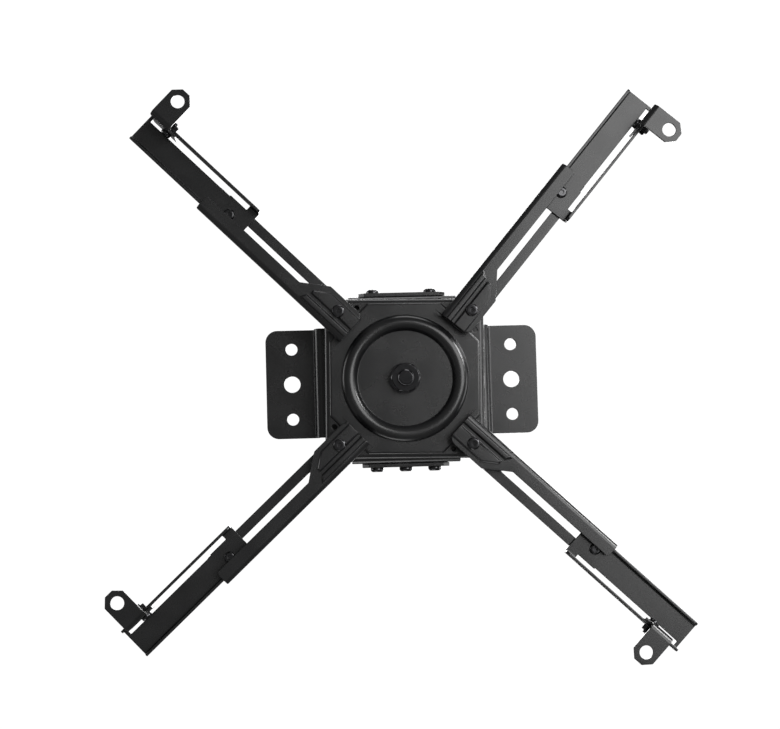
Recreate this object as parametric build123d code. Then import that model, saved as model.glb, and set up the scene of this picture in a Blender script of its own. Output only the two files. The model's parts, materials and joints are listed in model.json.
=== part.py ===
from build123d import *
from math import hypot
import os

# Universal ceiling mount for a projector, all sizes in millimetres.
# The ceiling is the plane z = 0 and the mount hangs below it.
# The origin is the centre of the four ceiling screw holes.

# Ceiling bracket
ceiling_length = 183.0
ceiling_width = 73.0
ceiling_corner = 8.0
ceiling_sheet = 2.5
hat_length = 117.0
hat_depth = 15.0
ceiling_hole_x = 148.0
ceiling_hole_y = 47.2
ceiling_hole = 8.0
ceiling_bolt_hole = 11.0
ceiling_bend = 2.0

# Tilt joint
ear_span = 114.8
ear_length = 57.0
ear_end_cut = 4.0
tilt_drop = 24.5
tilt_range = 12.0
ear_below_tilt = 8.5
tilt_sheet = 2.5
tilt_length = 71.0
tilt_floor_drop = 37.0
tilt_ear_above = 4.0
tilt_shoulder = 6.0
tilt_ear_margin = 4.5
tilt_slide_gap = 0.2
lock_radius = 19.0
lock_screw = 4.0
pivot_screw = 5.0
tilt_rivet = 6.0
rivet_head = 10.0
rivet_head_height = 1.6

# Spider tray and hub plate
swivel_at_rest = 0.9
tray_side = 104.0
tray_sheet = 2.0
tray_height = 8.0
tray_gap = 1.0
tray_notch = 7.0
tray_bend = 1.0
hub_side = 98.0
hub_sheet = 2.0
hub_chamfer = 25.0
hub_lip = 1.6
bead_outer = 82.5
bead_inner = 62.0
bead_height = 3.6
arm_pivot_pitch = 86.0
corner_hole = 3.4
corner_hole_near = 31.0
corner_hole_far = 46.0

# Swivel bolt
swivel_bolt = 10.0
swivel_wrench = 17.0
swivel_head = 6.4
swivel_nut_height = 8.0
swivel_end = 3.0
swivel_washer = 20.0
swivel_washer_sheet = 2.0
spacer_diameter = 30.0

# Inner arm, along its own axis from its pivot
inner_sheet = 1.8
inner_height = 10.0
inner_back = 14.0
inner_reach = 112.7
inner_wall_side = 13.3
inner_band_side = 7.6
inner_flange_side = -3.2
inner_bend = 1.6
gusset_side = 8.5
gusset_reach = 31.0
gusset_diagonal = 14.4
gusset_corner = 5.0
slot_centre = -2.0
slot_width = 6.0
slot_start = 24.0
slot_end = 109.0
arm_corner = 2.5

# Raised ribs pressed into the gusset
rib_height = 1.1
rib_slope = 40.0
pad_rib_low = -3.6
pad_rib_high = 5.6
pad_rib_near = 11.4
pad_rib_end = 21.0
pad_rib_tip = -1.0
side_rib_low = -10.0
side_rib_high = -5.6
side_rib_end = 25.0
side_rib_lean = 3.0
rib_overrun = 3.0

# Outer arm, along the same axis from its own hub end
outer_sheet = 1.8
outer_length = 95.0
outer_lip_side = 10.0
outer_lip_height = 6.0
outer_wall_side = 13.0
outer_wall_height = 12.0
outer_bend = 1.2
cut_width = 3.9
cut_step = 0.8
cut_step_place = 22.0
cut_hub_margin = 8.0
cut_end_margin = 2.5
wall_slot_margin = 9.0
wall_slot_drop = 7.4
slide_screw_inset = 14.0
slide_gap = 0.2

# Foot
foot_sheet = 1.8
foot_tab_width = 16.0
foot_leg_extra = 4.0
foot_bend = 2.0
foot_hole = 8.6
foot_hole_out = 13.8
foot_tab_out = 21.8
foot_tab_drop = 28.0
foot_rise = 3.0
foot_corner = 5.0
foot_screw_inset = 3.0

# Small fasteners: shank, head across, head height, nut across flats, nut height
lock_head = 8.6
lock_head_height = 2.9
m4_head = 7.4
m4_head_height = 2.6
m4_nut = 7.0
m4_nut_height = 3.2
m5_head = 8.6
m5_head_height = 2.9
m5_nut = 8.0
m5_nut_height = 4.0
arm_pivot_head = 8.0
arm_pivot_head_height = 2.2
slide_head = 7.4
slide_head_height = 2.3
pivot_spacer = 12.0
socket_depth_share = 0.55
socket_across = 2.6
shank_tail = 1.5
running_fit = 0.05
loose_fit = 0.3

# Rest pose of each arm: direction, hub end of the outer arm, foot hole to far end
arms = {
    "rear_left": {"pivot": (-1, -1), "angle": 224.5, "outer_start": 80.7, "foot_inset": 11.1},
    "rear_right": {"pivot": (1, -1), "angle": -49.9, "outer_start": 84.0, "foot_inset": 10.8},
    "front_left": {"pivot": (-1, 1), "angle": 137.0, "outer_start": 86.0, "foot_inset": 13.1},
    "front_right": {"pivot": (1, 1), "angle": 43.3, "outer_start": 90.0, "foot_inset": 17.7},
}

# Levels worked out from the sizes above, lowest faces last
tilt_floor_top = -tilt_floor_drop + tilt_sheet
tray_rim_top = -tilt_floor_drop - tray_gap
tray_floor_low = tray_rim_top - tray_height
tray_floor_top = tray_floor_low + tray_sheet
hub_low = tray_floor_low - hub_sheet
arm_top = hub_low
web_top = arm_top - inner_sheet - slide_gap
web_low = web_top - outer_sheet
tab_low = arm_top - foot_tab_drop
tilt_ear_face = ear_span / 2 - ceiling_sheet - tilt_slide_gap
tilt_ear_top = -tilt_drop + tilt_ear_above
ear_low = -tilt_drop - ear_below_tilt
wall_inner_side = outer_wall_side - outer_sheet
cut_side = wall_inner_side - cut_width


def near(shape, point):
    """The vertex of a flat shape that lies nearest to a point."""
    return min(shape.vertices(), key=lambda v: hypot(v.X - point[0], v.Y - point[1]))


def folded(points, thickness, bend):
    """A folded strip's section: its outer line, thickened to the left and rounded at its bends."""
    count = len(points)
    steps = [(points[i + 1][0] - points[i][0], points[i + 1][1] - points[i][1]) for i in range(count - 1)]
    units = [(dx / hypot(dx, dy), dy / hypot(dx, dy)) for dx, dy in steps]
    inner = []
    for i, (x, y) in enumerate(points):
        before = units[max(i - 1, 0)]
        after = units[min(i, count - 2)]
        nx, ny = -before[1] - after[1], before[0] + after[0]
        scale = 2 * thickness / (nx * nx + ny * ny)
        inner.append((x + nx * scale, y + ny * scale))
    face = make_face(Polyline(*points, *reversed(inner), close=True))
    for i in range(1, count - 1):
        turn = units[i - 1][0] * units[i][1] - units[i - 1][1] * units[i][0]
        tight, wide = (inner[i], points[i]) if turn > 0 else (points[i], inner[i])
        face = fillet(near(face, tight), bend)
        face = fillet(near(face, wide), bend + thickness)
    return face


def block(x, y, z):
    """A box from three pairs of limits."""
    size = (x[1] - x[0], y[1] - y[0], z[1] - z[0])
    middle = ((x[0] + x[1]) / 2, (y[0] + y[1]) / 2, (z[0] + z[1]) / 2)
    return Pos(*middle) * Box(*size)


def rod(diameter, low, high, x=0, y=0):
    """An upright cylinder between two levels."""
    return Pos(x, y, (low + high) / 2) * Cylinder(diameter / 2, high - low)


def plate(points, low, high):
    """A flat plate with a given outline between two levels."""
    return extrude(Plane.XY.offset(low) * make_face(Polyline(*points, close=True)), high - low)


def slot(start, end, middle, width, low, high):
    """A round-ended slot along the first axis, as a cutting tool."""
    sketch = Pos((start + end) / 2, middle) * SlotOverall(end - start, width)
    return extrude(Plane.XY.offset(low) * sketch, high - low)


def hexagon(across, low, high):
    """An upright hexagonal prism whose corners are turned down."""
    prism = extrude(Plane.XY.offset(low) * RegularPolygon(across / 2, 6, major_radius=False), high - low)
    cone = rod(across * 1.13, low, high)
    return prism & chamfer(cone.edges().filter_by(GeomType.CIRCLE), across * 0.06)


def hex_nut(across, height, bore):
    """A nut that stands on z = 0."""
    return hexagon(across, 0, height) - rod(bore, -1, height + 1)


def ring(outer, bore, low, high):
    """A flat ring, such as a washer or a spacer."""
    return rod(outer, low, high) - rod(bore, low - 1, high + 1)


def pan_screw(shank, head, head_height, length):
    """A pan head screw with its head below z = 0 and its shank above."""
    crown = rod(head, -head_height, 0)
    crown = fillet(crown.edges().group_by(Axis.Z)[0], head_height * 0.6)
    stem = rod(shank, -head_height / 2, length)
    stem = chamfer(stem.edges().group_by(Axis.Z)[-1], shank * 0.1)
    hexagon_key = RegularPolygon(socket_across / 2, 6, major_radius=False)
    socket = extrude(Plane.XY.offset(-head_height) * hexagon_key, head_height * socket_depth_share)
    return crown + stem - socket


def hat_section():
    """Section of the ceiling bracket: flange, wall, web, wall, flange."""
    hat = hat_length / 2
    end = ceiling_length / 2
    low = -ceiling_sheet
    line = [(-end, low), (-hat, low), (-hat, -hat_depth), (hat, -hat_depth), (hat, low), (end, low)]
    return folded(line, ceiling_sheet, ceiling_bend)


def ceiling_ear():
    """One ear with the tab of the web that carries it, on the +Y side."""
    half = ear_span / 2
    tab_top = -hat_depth + ceiling_sheet
    line = [(half, ear_low), (half, tab_top), (ceiling_width / 2 - ceiling_sheet, tab_top)]
    ear = extrude(Plane.YZ * folded(line, ceiling_sheet, ceiling_bend), ear_length / 2, both=True)
    lower = ear.edges().filter_by(Axis.Y).filter_by(lambda e: e.center().Z < ear_low + 0.1)
    ear = chamfer(lower, ear_end_cut)
    for side in (0, 180):
        arc = CenterArc((0, 0), lock_radius, side - tilt_range, 2 * tilt_range)
        groove = SlotArc(arc, lock_screw + 2 * loose_fit)
        ear -= Pos(0, half, -tilt_drop) * extrude(Plane.XZ * groove, 2 * ceiling_sheet, both=True)
    return ear


def ceiling_bracket():
    """Hat-shaped sheet with two ceiling flanges and two bent-down ears."""
    body = extrude(Plane.XZ * hat_section(), ceiling_width / 2, both=True)
    ends = body.edges().filter_by(Axis.Z).filter_by(lambda e: abs(e.center().X) > ceiling_length / 2 - 0.1)
    body = fillet(ends, ceiling_corner)
    ear = ceiling_ear()
    screw_bore = cross_hole(pivot_screw + 2 * running_fit)
    rivet_bore = cross_hole(tilt_rivet + 2 * running_fit)
    body += ear - screw_bore
    body += mirror(ear, Plane.XZ) - rivet_bore
    for x in (-ceiling_hole_x / 2, ceiling_hole_x / 2):
        for y in (-ceiling_hole_y / 2, ceiling_hole_y / 2):
            body -= rod(ceiling_hole, -2 * ceiling_sheet, ceiling_sheet, x, y)
        body -= rod(ceiling_bolt_hole, -2 * ceiling_sheet, ceiling_sheet, x, 0)
    return body


def cross_hole(diameter, x=0):
    """A long drill along Y at the level of the tilt axis."""
    return Pos(x, 0, -tilt_drop) * Rot(90, 0, 0) * Cylinder(diameter / 2, 2 * ear_span)


def tilt_bracket():
    """U-shaped sheet that tilts between the ears and carries the swivel bolt."""
    face = tilt_ear_face
    floor = -tilt_floor_drop
    top = tilt_ear_top
    line = [(-face, top), (-face, floor), (face, floor), (face, top)]
    body = extrude(Plane.YZ * folded(line, tilt_sheet, ceiling_bend), tilt_length / 2, both=True)
    half = tilt_length / 2
    neck = lock_radius + tilt_ear_margin
    shoulder = -tilt_drop - tilt_shoulder
    for side in (-1, 1):
        corner = make_face(Polyline((side * (half + 1), top + 1), (side * (half + 1), shoulder),
                                    (side * half, shoulder), (side * neck, top - tilt_ear_margin),
                                    (side * neck, top + 1), close=True))
        body -= extrude(Plane.XZ * corner, ear_span, both=True)
    upper = body.edges().filter_by(Axis.Y).filter_by(lambda e: e.center().Z > top - 0.1)
    body = fillet(upper, tilt_ear_margin * 0.9)
    for x in (-lock_radius, lock_radius):
        body -= cross_hole(lock_screw + 2 * running_fit, x)
    front = block((-tilt_rivet, tilt_rivet), (0, ear_span), (-ear_span, 0))
    body -= cross_hole(pivot_screw + 2 * running_fit) & front
    body -= cross_hole(tilt_rivet + 2 * running_fit) & mirror(front, Plane.XZ)
    body -= rod(swivel_bolt + 2 * running_fit, floor - 1, floor + 2 * tilt_sheet)
    return body


def on_front_ear(piece, x=0):
    """Place a screw or nut that points away from its head at the +Y ear's outer face."""
    return Pos(x, ear_span / 2, -tilt_drop) * Rot(90, 0, 0) * piece


def on_rear_ear(piece, x=0):
    """The same place on the -Y ear."""
    return Pos(x, -ear_span / 2, -tilt_drop) * Rot(-90, 0, 0) * piece


def tilt_rivet_piece():
    """Rivet whose outer end is flush with the ear and whose head is inside."""
    grip = ceiling_sheet + tilt_slide_gap + tilt_sheet
    head = fillet(rod(rivet_head, grip, grip + rivet_head_height).edges().group_by(Axis.Z)[-1],
                  rivet_head_height * 0.6)
    return rod(tilt_rivet, 0, grip) + head


def swivel_bolt_piece():
    """Hexagon bolt whose head rests on the floor of the tilt bracket."""
    low = hub_low - swivel_washer_sheet - swivel_nut_height - swivel_end
    shank = rod(swivel_bolt, low, tilt_floor_top + 1)
    shank = chamfer(shank.edges().group_by(Axis.Z)[0], swivel_bolt * 0.08)
    return shank + hexagon(swivel_wrench, tilt_floor_top, tilt_floor_top + swivel_head)


def spider_tray():
    """Square tray with an upturned rim and open corners."""
    half = tray_side / 2
    inner = half - tray_sheet
    outside = block((-half, half), (-half, half), (tray_floor_low, tray_rim_top))
    outside = fillet(outside.faces().sort_by(Axis.Z)[0].edges(), tray_bend + tray_sheet)
    inside = block((-inner, inner), (-inner, inner), (tray_floor_top, tray_rim_top + tray_height))
    inside = fillet(inside.faces().sort_by(Axis.Z)[0].edges(), tray_bend)
    body = outside - inside
    for x in (-1, 1):
        for y in (-1, 1):
            corner = [(x * half * 1.1, y * (half - tray_notch)), (x * half, y * (half - tray_notch)),
                      (x * (half - tray_notch), y * half), (x * (half - tray_notch), y * half * 1.1),
                      (x * half * 1.1, y * half * 1.1)]
            body -= plate(corner, tray_floor_low - 1, tray_rim_top + 1)
            pivot = (x * arm_pivot_pitch / 2, y * arm_pivot_pitch / 2)
            body -= rod(pivot_screw + 2 * running_fit, tray_floor_low - 1, tray_floor_top + 1, *pivot)
            for spot in ((corner_hole_near, corner_hole_far), (corner_hole_far, corner_hole_near)):
                body -= rod(corner_hole, tray_floor_low - 1, tray_floor_top + 1, x * spot[0], y * spot[1])
    return body - rod(swivel_bolt + 2 * running_fit, tray_floor_low - 1, tray_floor_top + 1)


def hub_plate():
    """Octagonal plate with a ring bead pressed towards the projector."""
    half = hub_side / 2
    cut = half - hub_chamfer
    outline = [(half, -cut), (half, cut), (cut, half), (-cut, half), (-half, cut), (-half, -cut),
               (-cut, -half), (cut, -half)]
    body = plate(outline, hub_low, tray_floor_low)
    body = fillet(body.faces().sort_by(Axis.Z)[0].edges(), hub_lip)
    low_radius, high_radius = bead_inner / 2, bead_outer / 2
    crown = (low_radius + high_radius) / 2
    body -= ring(bead_outer, bead_inner, hub_low - 1, tray_floor_low + 1)
    lower = ThreePointArc((low_radius, hub_low), (crown, hub_low - bead_height), (high_radius, hub_low))
    upper = ThreePointArc((high_radius, tray_floor_low), (crown, tray_floor_low - bead_height),
                          (low_radius, tray_floor_low))
    section = make_face([lower, Line(lower @ 1, upper @ 0), upper, Line(upper @ 1, lower @ 0)])
    body += revolve(Plane.XZ * section, Axis.Z)
    return body - rod(swivel_bolt + 2 * running_fit, hub_low - 1, tray_floor_low + 1)


def pressed_rib(points):
    """A raised rib on the camera side of the gusset and the hollow behind it."""
    base = Plane(origin=(0, 0, -inner_height), z_dir=(0, 0, -1), x_dir=(1, 0, 0))
    outline = make_face(Polyline(*[(x, -y) for x, y in points], close=True))
    raised = extrude(base * outline, rib_height, taper=rib_slope)
    hollow = Pos(0, 0, inner_sheet) * raised
    return raised, hollow


def inner_arm():
    """C-shaped channel with a slotted upper flange and a ribbed gusset at its hub end."""
    line = [(inner_band_side, 0), (-inner_wall_side, 0), (-inner_wall_side, -inner_height),
            (inner_flange_side, -inner_height)]
    body = extrude(Plane.YZ * folded(line, inner_sheet, inner_bend), inner_reach)
    body += extrude(Plane.YZ * folded(line, inner_sheet, inner_bend), -inner_back)
    inside = inner_flange_side - inner_sheet
    gusset = plate([(-inner_back, inside), (-inner_back, gusset_side), (gusset_diagonal, gusset_side),
                    (gusset_reach, inner_flange_side), (gusset_reach, inside)],
                   -inner_height, -inner_height + inner_sheet)
    corner = gusset.edges().filter_by(Axis.Z).sort_by_distance((-inner_back, gusset_side, -inner_height))[0]
    body += fillet(corner, gusset_corner)
    tips = body.edges().filter_by(Axis.Z).filter_by(lambda e: e.center().X > inner_reach - 0.1)
    body = fillet(tips.filter_by(lambda e: e.length < inner_sheet + 0.1), arm_corner)
    start = -inner_back - rib_overrun
    pad = [(start, pad_rib_low), (start, pad_rib_high), (pad_rib_near, pad_rib_high),
           (pad_rib_end, pad_rib_tip), (pad_rib_end, pad_rib_low)]
    side = [(start, side_rib_low), (start, side_rib_high),
            (side_rib_end - side_rib_lean, side_rib_high), (side_rib_end, side_rib_low)]
    width = (-2 * inner_wall_side, 2 * inner_wall_side)
    reach = block((-inner_back, inner_reach), width, (-2 * inner_height, inner_height))
    for outline in (pad, side):
        raised, hollow = pressed_rib(outline)
        body += raised & reach
        body -= hollow & (reach + Pos(-1, 0, 0) * reach)
    body -= slot(slot_start, slot_end, slot_centre, slot_width, -2 * inner_sheet, inner_sheet)
    return body - rod(pivot_screw + 2 * running_fit, -2 * inner_height, inner_height)


def outer_arm():
    """U-shaped arm with a low lip, a high slotted wall and a cut beside the wall."""
    line = [(outer_wall_side, -outer_wall_height), (outer_wall_side, 0), (-outer_lip_side, 0),
            (-outer_lip_side, -outer_lip_height)]
    body = extrude(Plane.YZ * folded(line, outer_sheet, outer_bend), outer_length)
    cut_end = outer_length - cut_end_margin
    depth = outer_bend + outer_sheet
    body -= block((cut_step_place, cut_end), (cut_side, outer_wall_side + 1), (-depth, 1))
    body -= block((cut_hub_margin, cut_step_place), (cut_side + cut_step, outer_wall_side + 1), (-depth, 1))
    lower = body.edges().filter_by(Axis.Y).filter_by(lambda e: e.center().Z < -outer_lip_height + 0.1)
    body = fillet(lower, arm_corner)
    groove = slot(wall_slot_margin, outer_length - wall_slot_margin, wall_slot_drop,
                  lock_screw + 2 * loose_fit, wall_inner_side - 1, outer_wall_side + 1)
    body -= Rot(-90, 0, 0) * groove
    hole = rod(pivot_screw + 2 * running_fit, -2 * outer_sheet, outer_sheet, slide_screw_inset, slot_centre)
    return body - hole


def foot():
    """L-shaped foot whose leg stands in the cut; u = 0 is its screw hole, z = 0 the web's top."""
    face = wall_inner_side - running_fit - foot_sheet
    tab_level = tab_low - web_top
    end = outer_wall_side + foot_tab_out
    half = foot_tab_width / 2
    line = [(face, foot_rise), (face, tab_level), (end, tab_level)]
    body = extrude(Plane.YZ * folded(line, foot_sheet, foot_bend), half)
    body += extrude(Plane.YZ * folded(line, foot_sheet, foot_bend), -half - foot_leg_extra)
    below = -outer_wall_height - foot_sheet
    body -= block((-2 * half, -half), (face - 1, end + 1), (tab_level - 1, below))
    corners = body.edges().filter_by(Axis.Z).filter_by(lambda e: e.center().Y > end - 0.1)
    body = chamfer(corners, foot_corner)
    body -= rod(foot_hole, tab_level - 1, tab_level + 2 * foot_sheet, 0, outer_wall_side + foot_hole_out)
    bore = Pos(foot_screw_inset - half, face, -wall_slot_drop) * Rot(90, 0, 0)
    return body - bore * Cylinder(lock_screw / 2 + running_fit, 4 * foot_sheet)


def arm_pieces(name, pose):
    """All pieces of one arm, in the place that its rest pose gives."""
    base = Pos(pose["pivot"][0] * arm_pivot_pitch / 2, pose["pivot"][1] * arm_pivot_pitch / 2, 0)
    place = Rot(0, 0, swivel_at_rest) * base * Rot(0, 0, pose["angle"] - swivel_at_rest)
    low = arm_top - inner_height - rib_height
    pivot_length = tray_floor_top + m5_nut_height + shank_tail - low
    slide_length = arm_top + m5_nut_height + shank_tail - web_low
    slide_place = Pos(pose["outer_start"] + slide_screw_inset, slot_centre, 0)
    foot_u = pose["outer_start"] + outer_length - pose["foot_inset"]
    leg_face = wall_inner_side - running_fit - foot_sheet
    clamp = Pos(foot_u + foot_screw_inset - foot_tab_width / 2, leg_face, web_top - wall_slot_drop)
    clamp_length = outer_wall_side - leg_face + m4_nut_height + shank_tail
    pieces = {
        "inner_arm": Pos(0, 0, arm_top) * inner_arm(),
        "outer_arm": Pos(pose["outer_start"], 0, web_top) * outer_arm(),
        "foot": Pos(foot_u, 0, web_top) * foot(),
        "pivot_screw": Pos(0, 0, low)
        * pan_screw(pivot_screw, arm_pivot_head, arm_pivot_head_height, pivot_length),
        "pivot_spacer": ring(pivot_spacer, pivot_screw + 2 * running_fit, arm_top, tray_floor_low),
        "pivot_nut": Pos(0, 0, tray_floor_top)
        * hex_nut(m5_nut, m5_nut_height, pivot_screw + 2 * running_fit),
        "slide_screw": slide_place * Pos(0, 0, web_low)
        * pan_screw(pivot_screw, slide_head, slide_head_height, slide_length),
        "slide_nut": slide_place * Pos(0, 0, arm_top)
        * hex_nut(m5_nut, m5_nut_height, pivot_screw + 2 * running_fit),
        "foot_screw": clamp * Rot(-90, 0, 0) * pan_screw(lock_screw, m4_head, m4_head_height, clamp_length),
        "foot_nut": clamp * Pos(0, outer_wall_side - leg_face, 0) * Rot(-90, 0, 0)
        * hex_nut(m4_nut, m4_nut_height, lock_screw + 2 * running_fit),
    }
    return {f"{name}_{piece}": place * shape for piece, shape in pieces.items()}


def mount_pieces():
    """Every piece of the mount, by the name of its node."""
    grip = ceiling_sheet + tilt_slide_gap + tilt_sheet
    hub = Rot(0, 0, swivel_at_rest)
    pieces = {
        "ceiling_bracket": ceiling_bracket(),
        "tilt_bracket": tilt_bracket(),
        "tilt_pivot_screw": on_front_ear(pan_screw(pivot_screw, m5_head, m5_head_height,
                                                   grip + m5_nut_height + shank_tail)),
        "tilt_pivot_nut": on_front_ear(Pos(0, 0, grip) * hex_nut(m5_nut, m5_nut_height,
                                                                 pivot_screw + 2 * running_fit)),
        "tilt_pivot_rivet": on_rear_ear(tilt_rivet_piece()),
        "swivel_bolt": swivel_bolt_piece(),
        "swivel_spacer": ring(spacer_diameter, swivel_bolt + 2 * running_fit,
                              tray_floor_top, -tilt_floor_drop),
        "swivel_washer": ring(swivel_washer, swivel_bolt + 2 * running_fit,
                              hub_low - swivel_washer_sheet, hub_low),
        "swivel_nut": Pos(0, 0, hub_low - swivel_washer_sheet - swivel_nut_height)
        * hex_nut(swivel_wrench, swivel_nut_height, swivel_bolt + 2 * running_fit),
        "spider_tray": hub * spider_tray(),
        "hub_plate": hub * hub_plate(),
    }
    for side, place in (("front", on_front_ear), ("rear", on_rear_ear)):
        for hand, x in (("left", -lock_radius), ("right", lock_radius)):
            screw = pan_screw(lock_screw, lock_head, lock_head_height, grip + m4_nut_height + shank_tail)
            nut = Pos(0, 0, grip) * hex_nut(m4_nut, m4_nut_height, lock_screw + 2 * running_fit)
            pieces[f"{side}_{hand}_lock_screw"] = place(screw, x)
            pieces[f"{side}_{hand}_lock_nut"] = place(nut, x)
    for name, pose in arms.items():
        pieces.update(arm_pieces(name, pose))
    return pieces


os.makedirs("parts", exist_ok=True)
for node, shape in mount_pieces().items():
    export_step(shape, f"parts/{node}.step")
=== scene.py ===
"""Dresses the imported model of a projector's ceiling mount with edges, threads, coats and a studio."""

import json
import math

import bmesh
import bpy
from bpy.props import FloatProperty, FloatVectorProperty, IntProperty, PointerProperty
from mathutils import Matrix, Vector


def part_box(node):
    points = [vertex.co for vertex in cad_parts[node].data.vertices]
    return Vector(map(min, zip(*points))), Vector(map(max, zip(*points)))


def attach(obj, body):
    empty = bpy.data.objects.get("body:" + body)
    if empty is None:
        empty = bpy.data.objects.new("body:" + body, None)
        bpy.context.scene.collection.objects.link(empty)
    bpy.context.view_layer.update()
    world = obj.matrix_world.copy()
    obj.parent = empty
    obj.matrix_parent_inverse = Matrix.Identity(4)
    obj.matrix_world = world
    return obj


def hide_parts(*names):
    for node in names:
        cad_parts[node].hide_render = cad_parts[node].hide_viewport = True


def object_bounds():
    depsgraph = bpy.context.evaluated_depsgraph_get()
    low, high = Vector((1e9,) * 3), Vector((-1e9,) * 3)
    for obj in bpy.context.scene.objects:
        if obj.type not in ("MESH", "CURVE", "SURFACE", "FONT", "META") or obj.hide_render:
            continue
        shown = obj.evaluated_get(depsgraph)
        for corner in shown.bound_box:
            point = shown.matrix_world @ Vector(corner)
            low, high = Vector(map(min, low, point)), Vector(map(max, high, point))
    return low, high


bl_info = {
    "name": "Projector Ceiling Mount",
    "version": (1, 0, 0),
    "blender": (4, 5, 0),
    "location": "View3D > Sidebar > Mount",
    "description": "Rounded sheet edges, thread turns, black finishes and a studio for the mount",
    "category": "Object",
}

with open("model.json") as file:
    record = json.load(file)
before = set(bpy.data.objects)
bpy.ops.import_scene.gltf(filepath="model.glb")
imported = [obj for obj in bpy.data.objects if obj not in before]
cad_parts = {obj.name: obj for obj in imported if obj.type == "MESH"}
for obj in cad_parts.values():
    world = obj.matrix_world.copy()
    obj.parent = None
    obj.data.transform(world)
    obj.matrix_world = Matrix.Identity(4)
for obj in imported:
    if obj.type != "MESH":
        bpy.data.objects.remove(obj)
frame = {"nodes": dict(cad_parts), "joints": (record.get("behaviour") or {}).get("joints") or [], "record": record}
cad_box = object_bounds()

NODES = frame["nodes"]
BODIES = frame["record"]["behaviour"]["bodies"]
BODY_OF = {node: body for body, nodes in BODIES.items() for node in nodes}
JOINT_AXIS = {joint["name"]: Vector(joint["axis"]) for joint in frame["joints"]}
ARMS = ("rear_left", "rear_right", "front_left", "front_right")
ARM_SHEETS = ("inner_arm", "outer_arm", "foot")
ARM_FASTENERS = ("pivot_screw", "pivot_spacer", "pivot_nut", "slide_screw", "slide_nut",
                 "foot_screw", "foot_nut")
LOCKS = tuple(f"{side}_{hand}_lock" for side in ("front", "rear") for hand in ("left", "right"))

# Vertices closer than this are one vertex, in metres
MERGE = 2e-6
# Faces that meet at less than the first angle are one flat face, and at more than the second an edge
FLAT_ANGLE = math.radians(0.2)
SHARP_ANGLE = math.radians(32)
# Faces across each rounded edge, and how strongly the large flat faces hold their shading
EDGE_FACES = 2
FLAT_WEIGHT = 100

# Radii of the screw shanks, in metres, and the sides of a thread's ridge in section
SWIVEL_SHANK = 0.005
M5_SHANK = 0.0025
M4_SHANK = 0.002
RIDGE_SIDES = 3

# Powder coat: widths of its cloudy patches and its flecks in metres, the part of each noise that is
# stretched to full range, how much of the tone the flecks take, and the refractive index
CLOUD_WIDTH = 0.022
CLOUD_RANGE = (0.35, 0.68)
FLECK_WIDTH = 0.0017
FLECK_RANGE = (0.52, 0.75)
FLECK_SHARE = 0.15
COAT_IOR = 1.33

# Black oxide: the part of its noise that is stretched, how much brighter its patches are, how far
# they raise the roughness and how far it is lowered under them, the depth of the turning marks in
# metres, and the oil film that lies over it
MOTTLE_RANGE = (0.35, 0.7)
MOTTLE_BRIGHT = 1.4
MOTTLE_SWING = 0.08
MOTTLE_DROP = 0.03
MARK_DEPTH = 0.000002
OXIDE_METALLIC = 0.85
OIL_FILM = 0.2
OIL_ROUGHNESS = 0.06
# The swivel bolt is this much glossier than the small screws
BOLT_GLOSS = 0.03

# Floor: width of its soft patches in metres, the part of their noise that is stretched, their
# brightness beside the floor's own colour, and the roughness
PATCH_WIDTH = 0.8
PATCH_RANGE = (0.3, 0.7)
PATCH_SHADE = 0.97
FLOOR_ROUGHNESS = 0.8

# The room turns from its lower to its upper brightness between these heights of the view direction
HORIZON = (-0.25, 0.35)
WHITE = (1, 1, 1, 1)

# Each light: its name, its place in metres, the setting with its power, and its side in metres
LIGHTS = (
    ("Key light", (0.78, -0.30, -1.5), "key_power", 1.1),
    ("Strip light", (1.35, -0.65, -0.62), "strip_power", 0.45),
    ("Fill light", (-1.3, 0.9, -0.7), "fill_power", 1.2),
    ("Top light", (0.5, -0.4, 1.5), "top_power", 1.4),
    ("Right light", (1.7, 0.3, 0.22), "side_power", 0.9),
    ("Left light", (-1.7, -0.3, 0.22), "side_power", 0.9),
    ("Front light", (-0.3, 1.7, 0.22), "side_power", 0.9),
    ("Back light", (0.3, -1.7, 0.22), "side_power", 0.9),
)

# Width of the photograph in pixels and of the camera's sensor in millimetres
PHOTO_WIDTH = 780
SENSOR_WIDTH = 36.0


class CoatSettings(bpy.types.PropertyGroup):
    """The satin black powder coat on all sheet steel."""

    colour: FloatVectorProperty(name="Coat colour", description="Colour of the powder coat",
                                subtype="COLOR", size=3, min=0, max=1,
                                default=(0.0036, 0.0037, 0.0039))
    worn_colour: FloatVectorProperty(name="Light patches", description="Colour where the coat is thinner",
                                     subtype="COLOR", size=3, min=0, max=1,
                                     default=(0.0062, 0.0062, 0.0065))
    roughness: FloatProperty(name="Roughness", description="Mean roughness of the coat", subtype="FACTOR",
                             min=0, max=1, default=0.27)
    roughness_swing: FloatProperty(name="Roughness swing", description="How far the roughness varies",
                                   subtype="FACTOR", min=0, max=0.5, default=0.05)
    peel_size: FloatProperty(name="Orange peel size", description="Width of one wave of the coat",
                             unit="LENGTH", subtype="DISTANCE", default=0.0011)
    peel_height: FloatProperty(name="Orange peel height", description="Height of the coat's waves",
                               unit="LENGTH", subtype="DISTANCE", default=0.000010)
    grain_size: FloatProperty(name="Grain size", description="Width of one powder grain", unit="LENGTH",
                              subtype="DISTANCE", default=0.00028)
    grain_height: FloatProperty(name="Grain height", description="Height of the powder grains", unit="LENGTH",
                                subtype="DISTANCE", default=0.0000025)
    edge: FloatProperty(name="Edge radius", description="Rounding of the coated sheet edges", unit="LENGTH",
                        subtype="DISTANCE", default=0.00032)


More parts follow.
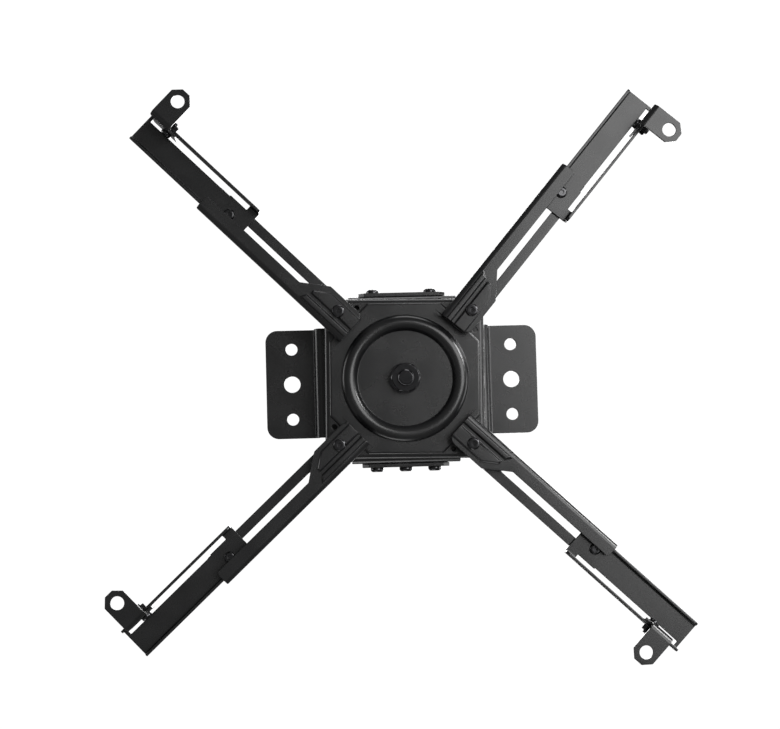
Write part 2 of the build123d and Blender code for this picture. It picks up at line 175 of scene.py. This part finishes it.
class HardwareSettings(bpy.types.PropertyGroup):
    """The blackened nuts, bolts and screws."""

    bolt_colour: FloatVectorProperty(name="Bolt colour", description="Colour of the swivel bolt and nut",
                                     subtype="COLOR", size=3, min=0, max=1,
                                     default=(0.011, 0.011, 0.012))
    screw_colour: FloatVectorProperty(name="Screw colour", description="Colour of the small screws and nuts",
                                      subtype="COLOR", size=3, min=0, max=1,
                                      default=(0.011, 0.011, 0.012))
    roughness: FloatProperty(name="Roughness", description="Mean roughness of the blackened steel",
                             subtype="FACTOR", min=0, max=1, default=0.15)
    mottle_size: FloatProperty(name="Mottle size", description="Width of the patches in the black oxide",
                               unit="LENGTH", subtype="DISTANCE", default=0.0016)
    tool_mark: FloatProperty(name="Tool mark width", description="Distance between turning marks",
                             unit="LENGTH", subtype="DISTANCE", default=0.00035)
    edge: FloatProperty(name="Edge radius", description="Rounding of the fasteners' edges", unit="LENGTH",
                        subtype="DISTANCE", default=0.00012)
    thread_turns: FloatProperty(name="Thread turns", description="Turns of thread on each exposed tail",
                                min=1, max=6, default=2.0)
    thread_ridge: FloatProperty(name="Thread ridge", description="Ridge as a share of the screw's radius",
                                subtype="FACTOR", min=0.01, max=0.2, default=0.07)
    thread_points: IntProperty(name="Points on a turn", description="Points of the helix on one turn",
                               min=8, max=64, default=28)


class StudioSettings(bpy.types.PropertyGroup):
    """Floor, lights and camera."""

    floor_level: FloatProperty(name="Floor level", description="Height of the floor, from the ceiling plane",
                               unit="LENGTH", subtype="DISTANCE", default=-3.2)
    floor_side: FloatProperty(name="Floor side", description="Side of the square floor", unit="LENGTH",
                              subtype="DISTANCE", default=80.0)
    floor_colour: FloatVectorProperty(name="Floor colour", description="Colour of the floor", subtype="COLOR",
                                      size=3, min=0, max=1, default=(0.86, 0.86, 0.85))
    key_power: FloatProperty(name="Key light", description="Power of the large soft light", unit="POWER",
                             subtype="POWER", default=37.0)
    strip_power: FloatProperty(name="Strip light", description="Power of the small light from the right",
                               unit="POWER", subtype="POWER", default=32.0)
    fill_power: FloatProperty(name="Fill light", description="Power of the weak light from the left",
                              unit="POWER", subtype="POWER", default=1.2)
    side_power: FloatProperty(name="Side lights", description="Power of each light at the mount's height",
                              unit="POWER", subtype="POWER", default=14.0)
    top_power: FloatProperty(name="Top light", description="Power of the light from over the ceiling plane",
                             unit="POWER", subtype="POWER", default=42.0)
    backdrop: FloatProperty(name="Backdrop", description="Brightness of the white behind the mount",
                            min=0, default=1.05)
    room_above: FloatProperty(name="Room above", description="Brightness of the room over the mount",
                              min=0, default=0.27)
    room_below: FloatProperty(name="Room below", description="Brightness of the room on the camera's side",
                              min=0, default=0.03)
    camera_place: FloatVectorProperty(name="Camera place", description="Where the camera stands",
                                      subtype="TRANSLATION", unit="LENGTH", size=3,
                                      default=(-0.05111, 0.05751, -1.150))
    camera_turn: FloatVectorProperty(name="Camera turn",
                                     description="Turns about X, Y and Z from straight up",
                                     subtype="EULER", unit="ROTATION", size=3,
                                     default=(-0.0604, -0.0376, -0.0253))
    focal_pixels: FloatProperty(name="Focal length in pixels", description="Focal length in photo pixels",
                                default=1704.0)


def shown_mesh(name, mesh, body, nodes=()):
    """Put a finished mesh in the scene, on its body, in place of the CAD nodes that it replaces."""
    piece = bpy.data.objects.new(name, mesh)
    bpy.context.scene.collection.objects.link(piece)
    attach(piece, body)
    if nodes:
        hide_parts(*nodes)


def plain_copy(scratch):
    """The evaluated mesh of a scratch object, which is then deleted."""
    graph = bpy.context.evaluated_depsgraph_get()
    mesh = bpy.data.meshes.new_from_object(scratch.evaluated_get(graph), depsgraph=graph)
    old = scratch.data
    bpy.data.objects.remove(scratch)
    bpy.data.meshes.remove(old)
    return mesh


def scratch_object(name, mesh):
    """An object that only carries modifiers until its mesh is read."""
    scratch = bpy.data.objects.new(name, mesh)
    bpy.context.scene.collection.objects.link(scratch)
    return scratch


def rounded(node, edge):
    """A CAD node's mesh, merged, with its flat faces joined and its sharp edges rounded."""
    work = bmesh.new()
    work.from_mesh(NODES[node].data)
    bmesh.ops.remove_doubles(work, verts=work.verts, dist=MERGE)
    bmesh.ops.dissolve_limit(work, angle_limit=FLAT_ANGLE, verts=work.verts, edges=work.edges)
    for face in work.faces:
        face.smooth = True
    mesh = bpy.data.meshes.new(node + "_work")
    work.to_mesh(mesh)
    work.free()
    scratch = scratch_object(node + "_work", mesh)
    bevel = scratch.modifiers.new("Rounded edges", "BEVEL")
    bevel.limit_method = "ANGLE"
    bevel.angle_limit = SHARP_ANGLE
    bevel.width = edge
    bevel.segments = EDGE_FACES
    bevel.use_clamp_overlap = False
    flat = scratch.modifiers.new("Flat faces stay flat", "WEIGHTED_NORMAL")
    flat.weight = FLAT_WEIGHT
    flat.keep_sharp = True
    return plain_copy(scratch)


def dress(node, edge, finish):
    """Replace one CAD node by its rounded copy with a finish."""
    mesh = rounded(node, edge)
    mesh.materials.clear()
    mesh.materials.append(finish)
    mesh.name = node + "_steel"
    shown_mesh(node + "_steel", mesh, BODY_OF[node], [node])


class Wire:
    """A shader socket; sums and products of wires and numbers add Math nodes."""

    def __init__(self, shader_tree, socket):
        self.shader_tree = shader_tree
        self.socket = socket

    def maths(self, operation, first, second):
        """A Math node on two wires or numbers."""
        return self.shader_tree.node("ShaderNodeMath", {"operation": operation}, {0: first, 1: second})

    def __add__(self, other):
        return self.maths("ADD", self, other)

    __radd__ = __add__

    def __sub__(self, other):
        return self.maths("SUBTRACT", self, other)

    def __rsub__(self, other):
        return self.maths("SUBTRACT", other, self)

    def __mul__(self, other):
        return self.maths("MULTIPLY", self, other)

    __rmul__ = __mul__


class ShaderTree:
    """A shader node tree being made, with its wires."""

    def __init__(self, tree):
        self.tree = tree

    def feed(self, socket, value):
        """Link a wire to a socket, or set the socket's own value."""
        if isinstance(value, Wire):
            self.tree.links.new(value.socket, socket)
        else:
            socket.default_value = value

    def node(self, kind, settings, sockets, output=0):
        """Add a node: settings first, then the value or link of each socket."""
        node = self.tree.nodes.new(kind)
        for name, value in settings.items():
            setattr(node, name, value)
        for name, value in sockets.items():
            self.feed(node.inputs[name], value)
        return Wire(self, node.outputs[output])

    def spread(self, wire, low, high, new_low=0.0, new_high=1.0):
        """Stretch the part of a wire between two values over another range."""
        sockets = {"Value": wire, "From Min": low, "From Max": high, "To Min": new_low, "To Max": new_high}
        return self.node("ShaderNodeMapRange", {"clamp": True}, sockets)


class Finish(ShaderTree):
    """A material being made, with its Principled shader."""

    def __init__(self, name):
        self.material = bpy.data.materials.new(name)
        self.material.use_nodes = True
        super().__init__(self.material.node_tree)
        self.shader = self.tree.nodes["Principled BSDF"]

    def noise(self, width, detail):
        """Soft noise on Object coordinates, from 0 to 1, with waves about this wide in metres."""
        place = self.node("ShaderNodeTexCoord", {}, {}, output="Object")
        return self.node("ShaderNodeTexNoise", {}, {"Vector": place, "Scale": 1 / width, "Detail": detail})

    def blend_colours(self, share, first, second):
        """Mix two colours by a wire."""
        sockets = {0: share, 6: (*first, 1), 7: (*second, 1)}
        return self.node("ShaderNodeMix", {"data_type": "RGBA"}, sockets, output=2)

    def bump(self, height, distance, below=None):
        """Surface normal from a height, over an earlier bump if there is one."""
        sockets = {"Height": height, "Distance": distance, "Strength": 1.0}
        if below is not None:
            sockets["Normal"] = below
        return self.node("ShaderNodeBump", {}, sockets)

    def set(self, **sockets):
        """Set the shader's own sockets, by name with spaces as underscores."""
        for name, value in sockets.items():
            self.feed(self.shader.inputs[name.replace("_", " ")], value)


def powder_coat(name, coat):
    """Satin powder coat: soft orange peel, fine grains and slow changes of gloss."""
    finish = Finish(name)
    cloud = finish.spread(finish.noise(CLOUD_WIDTH, detail=3.0), *CLOUD_RANGE)
    fleck = finish.spread(finish.noise(FLECK_WIDTH, detail=2.0), *FLECK_RANGE)
    tone = cloud * (1 - FLECK_SHARE) + fleck * FLECK_SHARE
    peel = finish.bump(finish.noise(coat.peel_size, detail=1.5), coat.peel_height)
    grain = finish.bump(finish.noise(coat.grain_size, detail=1.0), coat.grain_height, peel)
    finish.set(Base_Color=finish.blend_colours(tone, coat.colour, coat.worn_colour),
               Roughness=cloud * coat.roughness_swing + (coat.roughness - coat.roughness_swing / 2),
               Normal=grain, Metallic=0.0, IOR=COAT_IOR)
    return finish.material


def black_oxide(name, hardware, colour, gloss=0.0):
    """Blackened steel: mottled, with fine turning marks."""
    finish = Finish(name)
    mottle = finish.spread(finish.noise(hardware.mottle_size, detail=3.0), *MOTTLE_RANGE)
    marks = finish.noise(hardware.tool_mark, detail=1.0)
    bright = [MOTTLE_BRIGHT * channel for channel in colour]
    finish.set(Base_Color=finish.blend_colours(mottle, colour, bright),
               Roughness=mottle * MOTTLE_SWING + (hardware.roughness - gloss - MOTTLE_DROP),
               Normal=finish.bump(marks, MARK_DEPTH), Metallic=OXIDE_METALLIC,
               Coat_Weight=OIL_FILM, Coat_Roughness=OIL_ROUGHNESS)
    return finish.material


def kept_finish(name, maker, *settings):
    """A finish by name, made the first time it is asked for."""
    return bpy.data.materials.get(name) or maker(name, *settings)


def sheet_finish():
    """The coat of all sheet steel."""
    return kept_finish("Satin black powder coat", powder_coat, bpy.context.scene.mount_coat)


def bolt_finish():
    """The finish of the swivel bolt and what sits on it."""
    hardware = bpy.context.scene.mount_hardware
    return kept_finish("Black oxide bolt", black_oxide, hardware, hardware.bolt_colour, BOLT_GLOSS)


def screw_finish():
    """The finish of the small screws and nuts."""
    hardware = bpy.context.scene.mount_hardware
    return kept_finish("Black oxide screws", black_oxide, hardware, hardware.screw_colour)


class MOUNT_OT_ceiling_bracket(bpy.types.Operator):
    """Dress the hat-shaped ceiling bracket"""

    bl_idname = "mount.ceiling_bracket"
    bl_label = "Ceiling bracket"

    def execute(self, context):
        dress("ceiling_bracket", context.scene.mount_coat.edge, sheet_finish())
        return {"FINISHED"}


class MOUNT_OT_tilt_bracket(bpy.types.Operator):
    """Dress the U-shaped tilt bracket"""

    bl_idname = "mount.tilt_bracket"
    bl_label = "Tilt bracket"

    def execute(self, context):
        dress("tilt_bracket", context.scene.mount_coat.edge, sheet_finish())
        return {"FINISHED"}


class MOUNT_OT_hub(bpy.types.Operator):
    """Dress the tray and the plate with the ring bead"""

    bl_idname = "mount.hub"
    bl_label = "Spider tray and hub plate"

    def execute(self, context):
        edge = context.scene.mount_coat.edge
        for node in ("spider_tray", "hub_plate"):
            dress(node, edge, sheet_finish())
        return {"FINISHED"}


class MOUNT_OT_arms(bpy.types.Operator):
    """Dress the four telescopic arms with their feet"""

    bl_idname = "mount.arms"
    bl_label = "Arms and feet"

    def execute(self, context):
        edge = context.scene.mount_coat.edge
        for arm in ARMS:
            for part in ARM_SHEETS:
                dress(f"{arm}_{part}", edge, sheet_finish())
        return {"FINISHED"}


class MOUNT_OT_swivel_hardware(bpy.types.Operator):
    """Dress the swivel bolt with its nut, washer and spacer"""

    bl_idname = "mount.swivel_hardware"
    bl_label = "Swivel bolt"

    def execute(self, context):
        edge = context.scene.mount_hardware.edge
        for node in ("swivel_bolt", "swivel_nut", "swivel_washer", "swivel_spacer"):
            dress(node, edge, bolt_finish())
        return {"FINISHED"}


class MOUNT_OT_screws(bpy.types.Operator):
    """Dress the small screws, nuts, spacers and the tilt rivet"""

    bl_idname = "mount.screws"
    bl_label = "Screws and nuts"

    def execute(self, context):
        edge = context.scene.mount_hardware.edge
        nodes = ["tilt_pivot_screw", "tilt_pivot_nut", "tilt_pivot_rivet"]
        for lock in LOCKS:
            nodes += [lock + "_screw", lock + "_nut"]
        for arm in ARMS:
            nodes += [f"{arm}_{part}" for part in ARM_FASTENERS]
        for node in nodes:
            dress(node, edge, screw_finish())
        return {"FINISHED"}


def thread_tree(finish):
    """Node tree that winds thread turns round every point, along the point's axis and to its size.

    The helix has a radius and height of one, and each point stretches its own copy.
    """
    tree = bpy.data.node_groups.new("Thread turns", "GeometryNodeTree")
    tree.interface.new_socket("Geometry", in_out="OUTPUT", socket_type="NodeSocketGeometry")
    tree.interface.new_socket("Geometry", in_out="INPUT", socket_type="NodeSocketGeometry")
    tree.interface.new_socket("Turns", in_out="INPUT", socket_type="NodeSocketFloat")
    tree.interface.new_socket("Ridge", in_out="INPUT", socket_type="NodeSocketFloat")
    tree.interface.new_socket("Points on a turn", in_out="INPUT", socket_type="NodeSocketInt")

    def add(kind, settings=(), **sockets):
        """Add a node and set or link its sockets, by name with spaces as underscores."""
        node = tree.nodes.new(kind)
        for name, value in dict(settings).items():
            setattr(node, name, value)
        for name, value in sockets.items():
            socket = node.inputs[name.replace("_", " ")]
            if isinstance(value, bpy.types.NodeSocket):
                tree.links.new(value, socket)
            else:
                socket.default_value = value
        return node

    given = add("NodeGroupInput").outputs
    helix = add("GeometryNodeCurveSpiral", Resolution=given["Points on a turn"], Rotations=given["Turns"],
                Start_Radius=1.0, End_Radius=1.0, Height=1.0)
    section = add("GeometryNodeCurvePrimitiveCircle", Resolution=RIDGE_SIDES, Radius=given["Ridge"])
    ridge = add("GeometryNodeCurveToMesh", Curve=helix.outputs[0], Profile_Curve=section.outputs[0],
                Fill_Caps=True)
    axis = add("GeometryNodeInputNamedAttribute", {"data_type": "FLOAT_VECTOR"}, Name="axis")
    size = add("GeometryNodeInputNamedAttribute", {"data_type": "FLOAT_VECTOR"}, Name="size")
    turn = add("FunctionNodeAlignRotationToVector", {"axis": "Z"}, Vector=axis.outputs["Attribute"])
    copies = add("GeometryNodeInstanceOnPoints", Points=given["Geometry"], Instance=ridge.outputs[0],
                 Rotation=turn.outputs[0], Scale=size.outputs["Attribute"])
    real = add("GeometryNodeRealizeInstances", Geometry=copies.outputs[0])
    painted = add("GeometryNodeSetMaterial", Geometry=real.outputs[0], Material=finish)
    add("NodeGroupOutput", Geometry=painted.outputs[0])
    return tree


def middle(node):
    """Centre of a CAD node's box."""
    low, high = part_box(node)
    return (low + high) / 2


def reach_along(node, point, axis):
    """How far a node reaches past a point along an axis."""
    return max((vertex.co - point).dot(axis) for vertex in NODES[node].data.vertices)


def tails():
    """Every screw tail: its screw, its nut, its axis and its shank's radius in metres."""
    up, down = Vector((0, 0, 1)), Vector((0, 0, -1))
    rearward = Vector((0, -1, 0))
    found = [("swivel_bolt", "swivel_nut", down, SWIVEL_SHANK),
             ("tilt_pivot_screw", "tilt_pivot_nut", rearward, M5_SHANK)]
    for lock in LOCKS:
        inward = rearward if lock.startswith("front") else -rearward
        found.append((lock + "_screw", lock + "_nut", inward, M4_SHANK))
    for arm in ARMS:
        along = JOINT_AXIS[arm + "_extend"].normalized()
        found.append((arm + "_pivot_screw", arm + "_pivot_nut", up, M5_SHANK))
        found.append((arm + "_slide_screw", arm + "_slide_nut", up, M5_SHANK))
        found.append((arm + "_foot_screw", arm + "_foot_nut", up.cross(along), M4_SHANK))
    return found


class MOUNT_OT_threads(bpy.types.Operator):
    """Wind thread turns on every exposed screw tail, one mesh for each body"""

    bl_idname = "mount.threads"
    bl_label = "Thread turns"

    def execute(self, context):
        hardware = context.scene.mount_hardware
        tree = thread_tree(bolt_finish())
        inputs = {item.name: item.identifier for item in tree.interface.items_tree
                  if item.in_out == "INPUT"}
        on_body = {}
        for screw, nut, axis, radius in tails():
            face = middle(nut) + axis * reach_along(nut, middle(nut), axis)
            length = reach_along(screw, face, axis)
            if length <= 0:
                raise RuntimeError(f"{screw} doesn't reach through its nut")
            on_body.setdefault(BODY_OF[screw], []).append((face, axis, (radius, radius, length)))
        for body, points in on_body.items():
            mesh = bpy.data.meshes.new(body + "_tails")
            mesh.from_pydata([tuple(face) for face, _, _ in points], [], [])
            axes = mesh.attributes.new("axis", "FLOAT_VECTOR", "POINT")
            sizes = mesh.attributes.new("size", "FLOAT_VECTOR", "POINT")
            for index, (_, axis, size) in enumerate(points):
                axes.data[index].vector = axis
                sizes.data[index].vector = size
            scratch = scratch_object(body + "_tails", mesh)
            modifier = scratch.modifiers.new("Thread turns", "NODES")
            modifier.node_group = tree
            modifier[inputs["Turns"]] = hardware.thread_turns
            modifier[inputs["Ridge"]] = hardware.thread_ridge
            modifier[inputs["Points on a turn"]] = hardware.thread_points
            slot_name = "swivel_hardware" if body == BODY_OF["swivel_bolt"] else "small_hardware"
            shown_mesh(body + "_threads", plain_copy(scratch), body)
        return {"FINISHED"}


def soft_light(name, place, power, side):
    """A square area light that faces the mount."""
    light = bpy.data.lights.new(name, "AREA")
    light.shape = "SQUARE"
    light.size = side
    light.energy = power
    lamp = bpy.data.objects.new(name, light)
    bpy.context.scene.collection.objects.link(lamp)
    target = Vector((0, 0, (cad_box[0].z + cad_box[1].z) / 2))
    lamp.location = place
    lamp.rotation_euler = (target - Vector(place)).to_track_quat("-Z", "Y").to_euler()


def floor_panel(studio):
    """The pale floor, far below the mount."""
    half = studio.floor_side / 2
    level = studio.floor_level
    mesh = bpy.data.meshes.new("studio_floor")
    corners = [(-half, -half, level), (half, -half, level), (half, half, level), (-half, half, level)]
    mesh.from_pydata(corners, [], [(0, 1, 2, 3)])
    finish = Finish("Pale floor")
    patches = finish.spread(finish.noise(PATCH_WIDTH, detail=2.0), *PATCH_RANGE)
    shaded = [PATCH_SHADE * channel for channel in studio.floor_colour]
    finish.set(Base_Color=finish.blend_colours(patches, shaded, studio.floor_colour),
               Roughness=FLOOR_ROUGHNESS)
    mesh.materials.append(finish.material)
    panel = bpy.data.objects.new("studio_floor", mesh)
    bpy.context.scene.collection.objects.link(panel)


def studio_world(studio):
    """White behind the mount and a dimmer room light on it."""
    world = bpy.data.worlds.new("Studio")
    world.use_nodes = True
    sky = ShaderTree(world.node_tree)
    sky.tree.nodes.remove(sky.tree.nodes["Background"])
    direction = sky.node("ShaderNodeTexCoord", {}, {}, output="Generated")
    height = sky.node("ShaderNodeSeparateXYZ", {}, {0: direction}, output="Z")
    brightness = sky.spread(height, *HORIZON, studio.room_below, studio.room_above)
    room = sky.node("ShaderNodeBackground", {}, {"Color": WHITE, "Strength": brightness})
    white = sky.node("ShaderNodeBackground", {}, {"Color": WHITE, "Strength": studio.backdrop})
    seen = sky.node("ShaderNodeLightPath", {}, {}, output="Is Camera Ray")
    shown = sky.node("ShaderNodeMixShader", {}, {0: seen, 1: room, 2: white})
    sky.feed(sky.tree.nodes["World Output"].inputs["Surface"], shown)
    bpy.context.scene.world = world


def studio_camera(studio):
    """The camera below the mount, looking up as the photograph does."""
    lens = bpy.data.cameras.new("Camera")
    lens.sensor_fit = "HORIZONTAL"
    lens.sensor_width = SENSOR_WIDTH
    lens.lens = studio.focal_pixels * SENSOR_WIDTH / PHOTO_WIDTH
    camera = bpy.data.objects.new("Camera", lens)
    bpy.context.scene.collection.objects.link(camera)
    turn_x, turn_y, turn_z = studio.camera_turn
    turned = Matrix.Rotation(turn_z, 3, "Z") @ Matrix.Rotation(turn_y, 3, "Y")
    right, down, forward = turned @ Matrix.Rotation(turn_x, 3, "X")
    facing = Matrix((right, -down, -forward)).transposed()
    camera.matrix_world = Matrix.Translation(studio.camera_place) @ facing.to_4x4()
    bpy.context.scene.camera = camera


class MOUNT_OT_studio(bpy.types.Operator):
    """Set up the floor, the lights and the camera"""

    bl_idname = "mount.studio"
    bl_label = "Studio"

    def execute(self, context):
        studio = context.scene.mount_studio
        floor_panel(studio)
        studio_world(studio)
        context.scene.view_settings.view_transform = "Standard"
        for name, place, power, side in LIGHTS:
            soft_light(name, place, getattr(studio, power), side)
        studio_camera(studio)
        return {"FINISHED"}


class MOUNT_PT_sidebar(bpy.types.Panel):
    """Sizes, colours and pieces of the mount"""

    bl_idname = "MOUNT_PT_sidebar"
    bl_label = "Projector ceiling mount"
    bl_space_type = "VIEW_3D"
    bl_region_type = "UI"
    bl_category = "Mount"

    def draw(self, context):
        for group in (context.scene.mount_coat, context.scene.mount_hardware, context.scene.mount_studio):
            box = self.layout.box()
            for name in group.bl_rna.properties.keys():
                if name not in ("rna_type", "name"):
                    box.prop(group, name)
        for operator in OPERATORS:
            self.layout.operator(operator.bl_idname)


OPERATORS = (MOUNT_OT_ceiling_bracket, MOUNT_OT_tilt_bracket, MOUNT_OT_hub, MOUNT_OT_arms,
             MOUNT_OT_swivel_hardware, MOUNT_OT_screws, MOUNT_OT_threads, MOUNT_OT_studio)
CLASSES = (CoatSettings, HardwareSettings, StudioSettings, *OPERATORS, MOUNT_PT_sidebar)


def register():
    """Register the classes and hang the settings on the scene."""
    for item in CLASSES:
        bpy.utils.register_class(item)
    bpy.types.Scene.mount_coat = PointerProperty(type=CoatSettings)
    bpy.types.Scene.mount_hardware = PointerProperty(type=HardwareSettings)
    bpy.types.Scene.mount_studio = PointerProperty(type=StudioSettings)


def unregister():
    """Take everything away again."""
    del bpy.types.Scene.mount_studio
    del bpy.types.Scene.mount_hardware
    del bpy.types.Scene.mount_coat
    for item in reversed(CLASSES):
        bpy.utils.unregister_class(item)


def main():
    """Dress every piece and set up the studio."""
    register()
    bpy.ops.mount.ceiling_bracket()
    bpy.ops.mount.tilt_bracket()
    bpy.ops.mount.hub()
    bpy.ops.mount.arms()
    bpy.ops.mount.swivel_hardware()
    bpy.ops.mount.screws()
    bpy.ops.mount.threads()
    bpy.ops.mount.studio()


if __name__ == "__main__":
    main()
